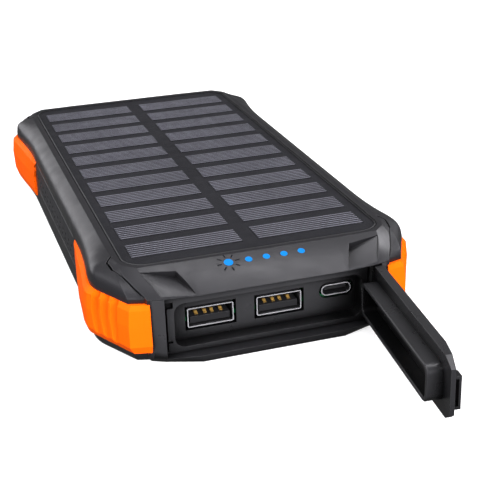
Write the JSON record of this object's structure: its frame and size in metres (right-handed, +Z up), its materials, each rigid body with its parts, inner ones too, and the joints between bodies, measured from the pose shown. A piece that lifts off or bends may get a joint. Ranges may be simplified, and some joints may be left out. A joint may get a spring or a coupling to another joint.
{
  "type": "solar phone charger",
  "caption": "Rugged portable battery pack with a solar panel on top, rubber corner bumpers and a hinged cover over its charging sockets.",
  "frame": {"origin": "centre of the flat underside, on the surface the charger lies on", "axes": "+Z up out of the solar panel; -Y out of the end with the charging sockets; +X towards the port cover's hinge"},
  "size_m": [0.0962, 0.2398, 0.025],
  "materials": {
    "housing": "fine matt moulded texture",
    "tray": "fine matt moulded texture",
    "bay": "satin moulded",
    "bumper": "matt soft rubber",
    "grip": "matt soft rubber",
    "cover": "matt soft rubber",
    "button": "matt soft rubber",
    "steel": "bright plated",
    "contact": "gold plated",
    "insulator": "satin",
    "backing": "matt board",
    "cell": "dark silicon with fine light lines",
    "sheet": "clear satin sheet",
    "seal": "matt black",
    "lit": "lit blue light pipe",
    "mark": "printed black",
    "board": "solder mask",
    "chip": "matt",
    "pouch": "satin foil",
    "foam": "matt foam",
    "lead": "insulated wire",
    "lens": "clear window",
    "reflector": "vacuum plated",
    "lamp": "phosphor",
    "hood": "gloss black"
  },
  "bodies": {
    "charger": {"top_housing": "housing", "bottom_housing": "tray", "port_bay_frame": "bay", "port_plate": "bay", "usb_a_shell_left": "steel", "usb_a_shell_right": "steel", "usb_a_tongue_left": "insulator", "usb_a_tongue_right": "insulator", "usb_a_contacts_left": "contact", "usb_a_contacts_right": "contact", "usb_c_shell": "steel", "usb_c_tongue": "insulator", "bumper_front_left": "bumper", "bumper_front_right": "bumper", "bumper_back_left": "bumper", "bumper_back_right": "bumper", "side_grip_left": "grip", "side_grip_right": "grip", "hinge_pin": "steel", "solar_backing": "backing", "solar_cells": "cell", "solar_glass": "sheet", "solar_gasket": "seal", "sun_indicator_lens": "lit", "level_indicator_lenses": "lit", "sun_rays": "mark", "indicator_board": "board", "indicator_leds": "lamp", "switch_board": "board", "button_switch": "chip", "torch_window": "lens", "torch_reflector": "reflector", "torch_board": "board", "torch_leds": "lamp", "torch_hood": "hood", "battery_cell_lower": "pouch", "battery_cell_upper": "pouch", "battery_foam": "foam", "battery_pads": "foam", "battery_leads": "lead", "main_board": "board", "board_chips": "chip", "board_inductor": "chip", "board_capacitors": "pouch", "housing_screws": "steel", "screw_plugs": "seal"},
    "cover": {"port_cover": "cover", "port_cover_plug": "cover", "port_cover_pull": "cover"},
    "button": {"power_button": "button"}
  },
  "joints": [
    {"name": "port_cover_hinge", "type": "hinge", "parent": "charger", "child": "cover", "pos_m": [0.03, -0.0892, 0.0108], "axis": [0, 0, 1], "range_deg": [-84, 8]},
    {"name": "power_button_press", "type": "slide", "parent": "charger", "child": "button", "axis": [-1, 0, 0], "range_m": [0, 0.0005], "stiffness_N_per_m": 800, "springref_m": -0.0005}
  ]
}
